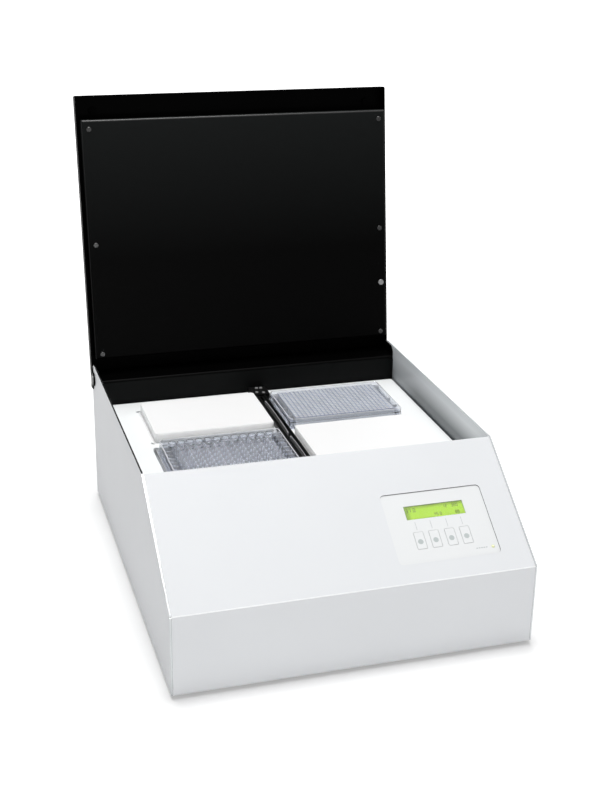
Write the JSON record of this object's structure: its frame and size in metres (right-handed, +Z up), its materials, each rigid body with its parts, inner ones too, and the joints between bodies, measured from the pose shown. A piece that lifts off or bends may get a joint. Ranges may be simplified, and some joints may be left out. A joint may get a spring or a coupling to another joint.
{
  "type": "microplate incubator",
  "caption": "Bench incubator for microplates with a slanted control face, a hinged black lid and a white orbital shaking deck with plate nests.",
  "frame": {"origin": "middle of the bounding box at rest (lid open), on the ground under the rubber feet", "axes": "+X along the front from left to right, +Y from the front to the back, +Z up"},
  "size_m": [0.3414, 0.4578, 0.4362],
  "materials": {
    "case_paint": "satin",
    "black_paint": "satin",
    "overlay_film": "satin",
    "window_clear": "gloss",
    "display_green": "satin",
    "key_grey": "satin",
    "led_lens": "gloss",
    "circuit_board": "satin",
    "zinc_steel": "satin",
    "spring_steel": "satin",
    "aluminium_plate": "satin",
    "rubber_black": "matte",
    "deck_white": "satin",
    "clear_plastic": "gloss",
    "white_plastic": "satin",
    "silicone_mat": "matte",
    "foam_grey": "matte",
    "board_tan": "matte",
    "black_plastic": "satin",
    "bronze": "satin",
    "chrome_button": "gloss",
    "motor_black": "satin"
  },
  "bodies": {
    "base": {"base_pan": "zinc_steel", "front_panel": "case_paint", "left_side_panel": "case_paint", "right_side_panel": "case_paint", "rear_panel": "case_paint", "rear_cover": "black_paint", "rubber_feet": "rubber_black", "housing_screws": "zinc_steel", "control_overlay": "overlay_film", "display_window": "window_clear", "display_module": "display_green", "status_led": "led_lens", "control_board": "circuit_board", "board_posts": "zinc_steel", "power_supply": "aluminium_plate", "main_board": "circuit_board", "mains_inlet": "black_plastic", "fuse_drawer": "black_plastic", "switch_frame": "black_plastic", "serial_port": "zinc_steel", "shaker_frame": "zinc_steel", "crank_bearings": "spring_steel", "drive_motor": "motor_black", "hinge_bolts": "zinc_steel", "lid_stops": "rubber_black"},
    "platform": {"carriage_plate": "aluminium_plate", "platform_bushes": "bronze", "insulation_board": "board_tan", "heater_mat": "silicone_mat", "heater_plate": "aluminium_plate", "deck_tray": "deck_white", "center_rail": "black_plastic", "rail_screws": "zinc_steel", "leaf_springs": "spring_steel"},
    "lid": {"lid_shell": "black_paint", "lid_panel": "black_paint", "lid_heater_plate": "aluminium_plate", "lid_heater_mat": "silicone_mat", "lid_insulation": "foam_grey", "lid_spacers": "zinc_steel", "lid_probe": "chrome_button", "lid_buffers": "rubber_black", "panel_screws": "zinc_steel"},
    "key_1": {"key_1": "key_grey"},
    "key_2": {"key_2": "key_grey"},
    "key_3": {"key_3": "key_grey"},
    "key_4": {"key_4": "key_grey"},
    "power_rocker": {"power_rocker": "black_plastic"},
    "drive_crank": {"drive_crank": "zinc_steel"},
    "idler_crank_1": {"idler_crank_1": "zinc_steel"},
    "idler_crank_2": {"idler_crank_2": "zinc_steel"},
    "idler_crank_3": {"idler_crank_3": "zinc_steel"},
    "idler_crank_4": {"idler_crank_4": "zinc_steel"},
    "microplate_96": {"microplate_96": "clear_plastic"},
    "microplate_384": {"microplate_384": "clear_plastic"},
    "rear_left_blank": {"rear_left_blank": "white_plastic"},
    "front_right_blank": {"front_right_blank": "white_plastic"}
  },
  "joints": [
    {"name": "lid_hinge", "type": "hinge", "parent": "base", "child": "lid", "pos_m": [0, 0.16806, 0.143], "axis": [1, 0, 0], "range_deg": [0, 98]},
    {"name": "key_1_press", "type": "slide", "parent": "base", "child": "key_1", "axis": [0, 0.5639, -0.8258], "range_m": [0, 0.0004], "stiffness_N_per_m": 600, "springref_m": -0.0008},
    {"name": "key_2_press", "type": "slide", "parent": "base", "child": "key_2", "axis": [0, 0.5639, -0.8258], "range_m": [0, 0.0004], "stiffness_N_per_m": 600, "springref_m": -0.0008},
    {"name": "key_3_press", "type": "slide", "parent": "base", "child": "key_3", "axis": [0, 0.5639, -0.8258], "range_m": [0, 0.0004], "stiffness_N_per_m": 600, "springref_m": -0.0008},
    {"name": "key_4_press", "type": "slide", "parent": "base", "child": "key_4", "axis": [0, 0.5639, -0.8258], "range_m": [0, 0.0004], "stiffness_N_per_m": 600, "springref_m": -0.0008},
    {"name": "rocker_tilt", "type": "hinge", "parent": "base", "child": "power_rocker", "pos_m": [-0.062, 0.18056, 0.0555], "axis": [1, 0, 0], "range_deg": [-16, 0]},
    {"name": "microplate_96_lift", "type": "slide", "parent": "platform", "child": "microplate_96", "axis": [0, 0, 1], "range_m": [0, 0.06]},
    {"name": "microplate_384_lift", "type": "slide", "parent": "platform", "child": "microplate_384", "axis": [0, 0, 1], "range_m": [0, 0.06]},
    {"name": "rear_left_blank_lift", "type": "slide", "parent": "platform", "child": "rear_left_blank", "axis": [0, 0, 1], "range_m": [0, 0.06]},
    {"name": "front_right_blank_lift", "type": "slide", "parent": "platform", "child": "front_right_blank", "axis": [0, 0, 1], "range_m": [0, 0.06]},
    {"name": "crank_spin", "type": "hinge", "parent": "base", "child": "drive_crank", "pos_m": [0, 0.01816, 0.0795], "axis": [0, 0, 1], "continuous": true},
    {"name": "platform_orbit", "type": "hinge", "parent": "drive_crank", "child": "platform", "pos_m": [0, 0.01916, 0.0975], "axis": [0, 0, 1], "continuous": true},
    {"name": "idler_1_spin", "type": "hinge", "parent": "base", "child": "idler_crank_1", "pos_m": [-0.096, -0.05784, 0.0795], "axis": [0, 0, 1], "continuous": true},
    {"name": "idler_2_spin", "type": "hinge", "parent": "base", "child": "idler_crank_2", "pos_m": [-0.096, 0.09416, 0.0795], "axis": [0, 0, 1], "continuous": true},
    {"name": "idler_3_spin", "type": "hinge", "parent": "base", "child": "idler_crank_3", "pos_m": [0.096, -0.05784, 0.0795], "axis": [0, 0, 1], "continuous": true},
    {"name": "idler_4_spin", "type": "hinge", "parent": "base", "child": "idler_crank_4", "pos_m": [0.096, 0.09416, 0.0795], "axis": [0, 0, 1], "continuous": true}
  ],
  "couplings": [
    {"joint": "platform_orbit", "follows": "crank_spin", "ratio": -1},
    {"joint": "idler_1_spin", "follows": "crank_spin", "ratio": 1},
    {"joint": "idler_2_spin", "follows": "crank_spin", "ratio": 1},
    {"joint": "idler_3_spin", "follows": "crank_spin", "ratio": 1},
    {"joint": "idler_4_spin", "follows": "crank_spin", "ratio": 1}
  ]
}
